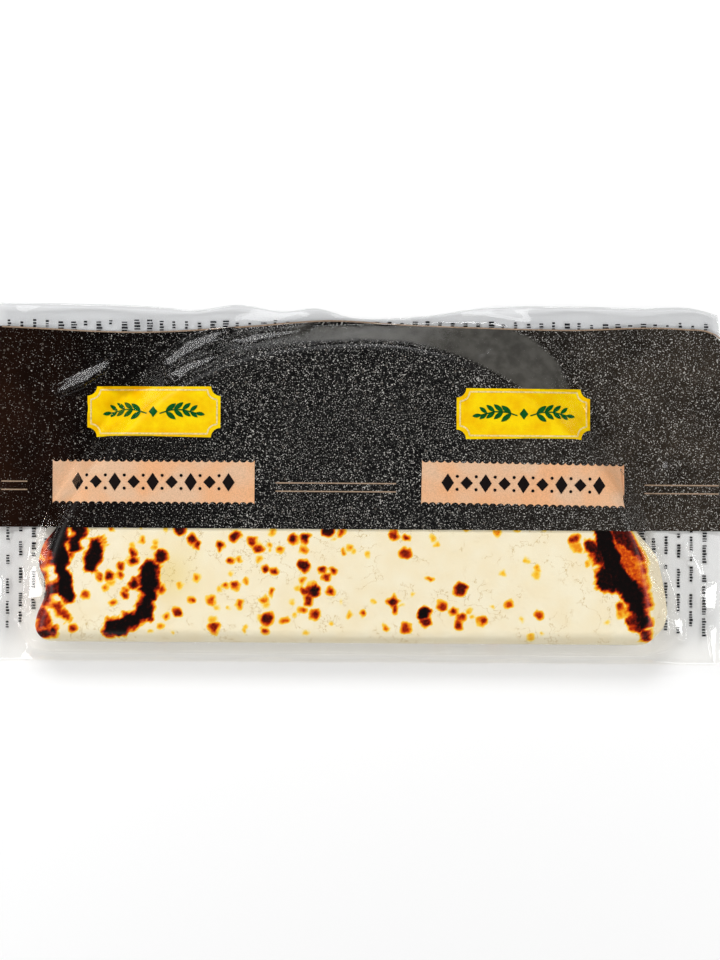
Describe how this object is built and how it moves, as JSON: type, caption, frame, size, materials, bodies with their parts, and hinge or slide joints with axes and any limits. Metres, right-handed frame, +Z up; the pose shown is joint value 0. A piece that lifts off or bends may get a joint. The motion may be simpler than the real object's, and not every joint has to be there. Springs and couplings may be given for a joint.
{
  "type": "packed bread cheese",
  "caption": "Half-round oven-browned bread cheese sealed flat in a clear printed pouch, lying with its shown side up.",
  "frame": {"origin": "middle of the pouch's outline, on the surface it lies on", "axes": "+X along the straight cut of the cheese, +Y from the cut to its round side, +Z up through the shown side"},
  "size_m": [0.246, 0.1216, 0.0126],
  "materials": {
    "film": "clear gloss film",
    "cheese": "moist cream cheese surface with toasted spots",
    "band": "dark ink printed behind gloss film",
    "badge": "yellow ink printed behind gloss film",
    "sprig": "green ink printed behind gloss film",
    "strip": "peach ink printed behind gloss film",
    "rule": "copper ink printed behind gloss film"
  },
  "bodies": {
    "root": {"pouch": "film"}
  },
  "joints": []
}
